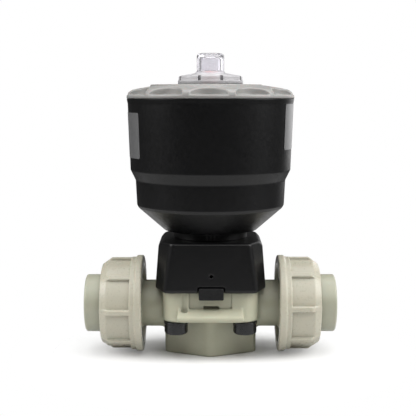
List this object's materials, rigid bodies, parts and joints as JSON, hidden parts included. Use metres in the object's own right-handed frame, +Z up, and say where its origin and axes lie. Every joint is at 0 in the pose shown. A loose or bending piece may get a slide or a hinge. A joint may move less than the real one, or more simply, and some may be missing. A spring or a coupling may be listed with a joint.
{
  "type": "diaphragm valve",
  "caption": "Plastic weir-type diaphragm valve with true-union socket ends and a spring-closed pneumatic piston actuator with clear position indicator cap.",
  "frame": {"origin": "centre of the foot's mounting face, under the middle of the valve", "axes": "+X along the pipe to the right union end, -Y to the front with the tell-tale hole, +Z up the stem to the indicator cap"},
  "size_m": [0.1502, 0.0994, 0.1794],
  "materials": {
    "body_plastic": "moulded beige-grey polypropylene, satin",
    "union_plastic": "moulded greenish grey polypropylene, satin",
    "nut_plastic": "moulded warm beige polypropylene, satin",
    "black_plastic": "moulded glass-filled black plastic, satin",
    "black_gloss": "smooth black plastic",
    "dark_plastic": "moulded dark grey plastic",
    "bush_plastic": "machined bearing plastic",
    "cover_plastic": "moulded light grey plastic, satin",
    "clear_plastic": "clear moulded polycarbonate",
    "diaphragm_rubber": "moulded black EPDM rubber",
    "seal_rubber": "black rubber",
    "steel": "plain stainless steel",
    "spring_steel": "spring steel wire, oiled",
    "brass": "turned brass",
    "indicator_red": "moulded red plastic",
    "label": "satin film label, blank"
  },
  "bodies": {
    "valve": {"valve_body": "body_plastic", "foot_inserts": "brass", "left_union_end": "union_plastic", "right_union_end": "union_plastic", "left_union_seal": "seal_rubber", "right_union_seal": "seal_rubber", "body_screws": "steel", "screw_washers": "steel", "bonnet_nuts": "steel", "screw_caps": "black_gloss", "diaphragm": "diaphragm_rubber", "bonnet": "black_plastic", "stem_bush": "bush_plastic", "stem_seal": "seal_rubber", "seal_retainer": "brass", "housing_screws": "steel", "actuator_housing": "black_plastic", "side_labels": "label", "top_cover": "cover_plastic", "cover_seal": "seal_rubber", "indicator_seal": "seal_rubber", "indicator_cap": "clear_plastic", "cap_seal": "seal_rubber", "outer_spring": "spring_steel", "inner_spring": "spring_steel"},
    "stem_train": {"stem": "steel", "diaphragm_stud": "steel", "compressor": "dark_plastic", "compressor_pin": "steel", "piston": "dark_plastic", "piston_seal": "seal_rubber", "guide_band": "bush_plastic", "piston_washer": "steel", "piston_nut": "steel", "position_indicator": "indicator_red"},
    "left_nut": {"left_union_nut": "nut_plastic"},
    "right_nut": {"right_union_nut": "nut_plastic"}
  },
  "joints": [
    {"name": "stem_lift", "type": "slide", "parent": "valve", "child": "stem_train", "axis": [0, 0, 1], "range_m": [0, 0.0085], "deforming": ["outer_spring", "inner_spring", "diaphragm"]},
    {"name": "left_nut_turn", "type": "hinge", "parent": "valve", "child": "left_nut", "pos_m": [-0.0526, 0, 0.0295], "axis": [-1, 0, 0], "range_deg": [0, 1800]},
    {"name": "right_nut_turn", "type": "hinge", "parent": "valve", "child": "right_nut", "pos_m": [0.0526, 0, 0.0295], "axis": [1, 0, 0], "range_deg": [0, 1800]}
  ]
}
